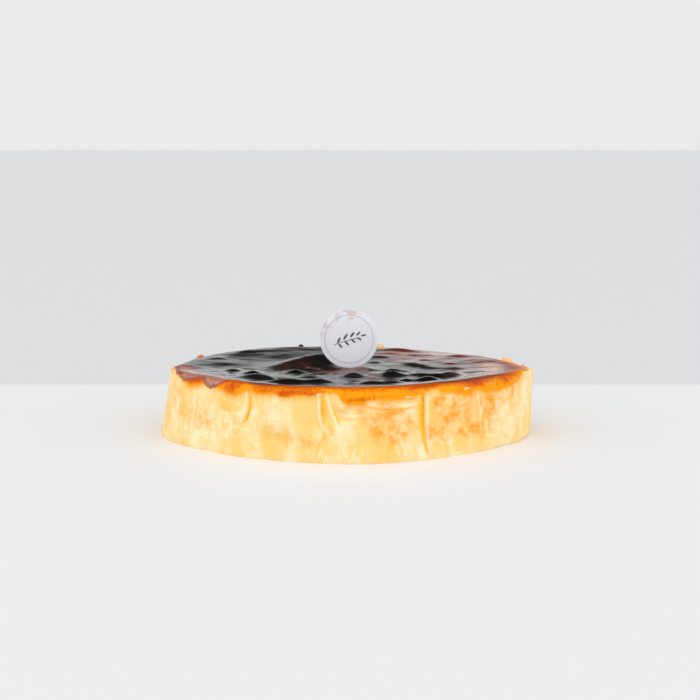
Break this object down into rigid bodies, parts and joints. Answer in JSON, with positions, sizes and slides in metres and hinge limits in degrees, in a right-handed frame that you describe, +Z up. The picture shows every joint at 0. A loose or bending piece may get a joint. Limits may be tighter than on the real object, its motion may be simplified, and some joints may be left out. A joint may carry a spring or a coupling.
{
  "type": "baked cheesecake",
  "caption": "Whole round burnt-top baked cheesecake with a pale creased side, a caramel rim and a small plain round card standing in its top.",
  "frame": {"origin": "centre of the flat underside, where the cake rests", "axes": "+Z up through the cake; -Y is the shown front side, which the round card faces; +X is the right of that view"},
  "size_m": [0.1956, 0.1936, 0.0648],
  "materials": {
    "baked_custard": "satin, pale yellow side with a glossy caramel rim and a burnt dark brown top",
    "white_card": "smooth white card"
  },
  "bodies": {
    "root": {"cheesecake": "baked_custard", "topper_card": "white_card"}
  },
  "joints": []
}
